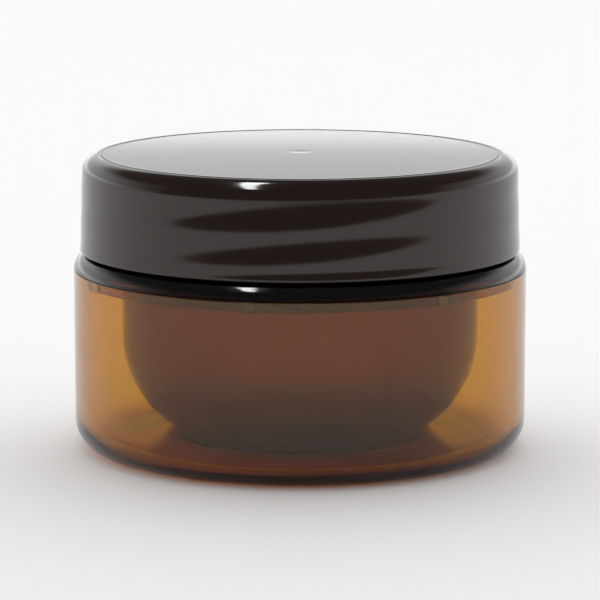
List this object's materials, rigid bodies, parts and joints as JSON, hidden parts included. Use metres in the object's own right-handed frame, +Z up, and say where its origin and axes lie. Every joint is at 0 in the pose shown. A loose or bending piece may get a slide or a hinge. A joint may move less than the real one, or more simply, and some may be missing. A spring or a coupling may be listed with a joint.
{
  "type": "cosmetic cream jar",
  "caption": "Round double-wall cream jar: clear outer shell, inner cup with a screw neck, and a screw lid with a liner that seals on the rim.",
  "frame": {"origin": "centre of the base that the jar stands on, on the jar's axis", "axes": "+Z up along the jar's axis, towards the lid; -Y is the side seen from the front"},
  "size_m": [0.062, 0.062, 0.0406],
  "materials": {
    "clear_amber": "clear amber plastic, moulded with a polished surface",
    "amber_cup": "dark translucent amber plastic, satin moulded surface",
    "dark_lid": "dark brown plastic, high gloss",
    "liner_foam": "closed-cell foam sheet, matt"
  },
  "bodies": {
    "jar": {"outer_shell": "clear_amber", "inner_cup": "amber_cup"},
    "liner": {"lid_liner": "liner_foam"},
    "lid": {"lid": "dark_lid"}
  },
  "joints": [
    {"name": "lid_rise", "type": "slide", "parent": "jar", "child": "liner", "axis": [0, 0, 1], "range_m": [0, 0.012]},
    {"name": "lid_turn", "type": "hinge", "parent": "liner", "child": "lid", "pos_m": [0, 0, 0.034], "axis": [0, 0, 1], "range_deg": [0, 480]}
  ],
  "couplings": [
    {"joint": "lid_rise", "follows": "lid_turn", "m_per_rad": 0.0014324}
  ]
}
